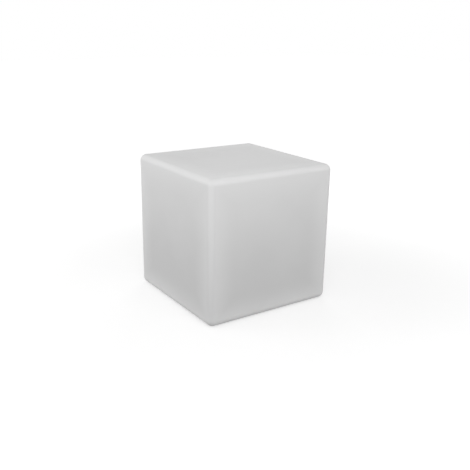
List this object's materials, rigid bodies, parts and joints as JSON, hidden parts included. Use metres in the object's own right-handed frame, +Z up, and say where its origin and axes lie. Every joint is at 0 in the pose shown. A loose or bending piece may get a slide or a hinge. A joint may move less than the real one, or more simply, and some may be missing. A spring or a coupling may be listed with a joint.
{
  "type": "led cube light",
  "caption": "Cordless cube light: a frosted, round-edged moulded cube with a sealed rechargeable lamp module, press key and plugged charging port in its base.",
  "frame": {"origin": "centre of the footprint, on the surface that the cube stands on", "axes": "+Z up; the side faces look along +-X and +-Y; the key and the charging port lie on the -Y half of the base"},
  "size_m": [0.4, 0.4, 0.4012],
  "materials": {
    "frosted_polyethylene": "frosted, matte, let light through",
    "white_abs": "fine spark texture, satin",
    "white_acetal": "satin",
    "grey_silicone": "matte",
    "white_silicone": "matte",
    "clear_rubber": "milky, matte",
    "brass": "machined",
    "stainless": "plain turned steel",
    "zinc_steel": "bright zinc plate",
    "aluminium": "plain sheet",
    "nickel": "nickel plate, dull",
    "green_board": "solder mask",
    "white_board": "white solder mask",
    "black_resin": "moulded resin",
    "ferrite": "sintered, dull",
    "capacitor_sleeve": "shrunk sleeve",
    "natural_nylon": "natural, slightly translucent",
    "cell_sleeve": "shrunk sleeve",
    "red_insulation": "smooth insulation",
    "white_insulation": "smooth jacket",
    "lamp_package": "moulded package with clear fill",
    "clear_acrylic": "polished",
    "opal_polycarbonate": "opal, satin"
  },
  "bodies": {
    "cube": {"cube_shell": "frosted_polyethylene", "threaded_inserts": "brass", "foot_pads": "clear_rubber", "flange_gasket": "grey_silicone", "base_plate": "white_abs", "flange_screws": "stainless", "housing_can": "white_abs", "can_seal": "grey_silicone", "can_screws": "stainless", "button_spring": "stainless", "button_retainer": "white_acetal", "tact_switch": "black_resin", "light_pipe": "clear_acrylic", "charge_lamp": "lamp_package", "control_board": "green_board", "board_screws": "zinc_steel", "board_chips": "black_resin", "power_inductor": "ferrite", "filter_capacitors": "capacitor_sleeve", "board_headers": "natural_nylon", "jack_body": "black_resin", "jack_pin": "nickel", "port_strap": "white_silicone", "battery_cells": "cell_sleeve", "cell_tabs": "nickel", "battery_clamp": "white_abs", "clamp_screws": "zinc_steel", "battery_leads": "red_insulation", "lamp_lead": "white_insulation", "heat_spreader": "aluminium", "lamp_board": "white_board", "led_chips": "lamp_package", "infrared_receiver": "black_resin", "lamp_connector": "natural_nylon", "lamp_screws": "zinc_steel", "dome_lens": "opal_polycarbonate", "dome_seal": "grey_silicone", "dome_screws": "zinc_steel"},
    "power_button": {"power_button": "white_acetal", "switch_plunger": "black_resin"},
    "port_plug": {"port_plug": "white_silicone"}
  },
  "joints": [
    {"name": "button_press", "type": "slide", "parent": "cube", "child": "power_button", "axis": [0, 0, 1], "range_m": [0, 0.001], "stiffness_N_per_m": 400, "springref_m": -0.002, "deforming": ["button_spring"]},
    {"name": "port_plug_hinge", "type": "hinge", "parent": "cube", "child": "port_plug", "pos_m": [0.03, -0.0225, 0.0099], "axis": [0, -1, 0], "range_deg": [0, 110], "stiffness_Nm_per_rad": 0.004, "springref_deg": -17.19}
  ]
}
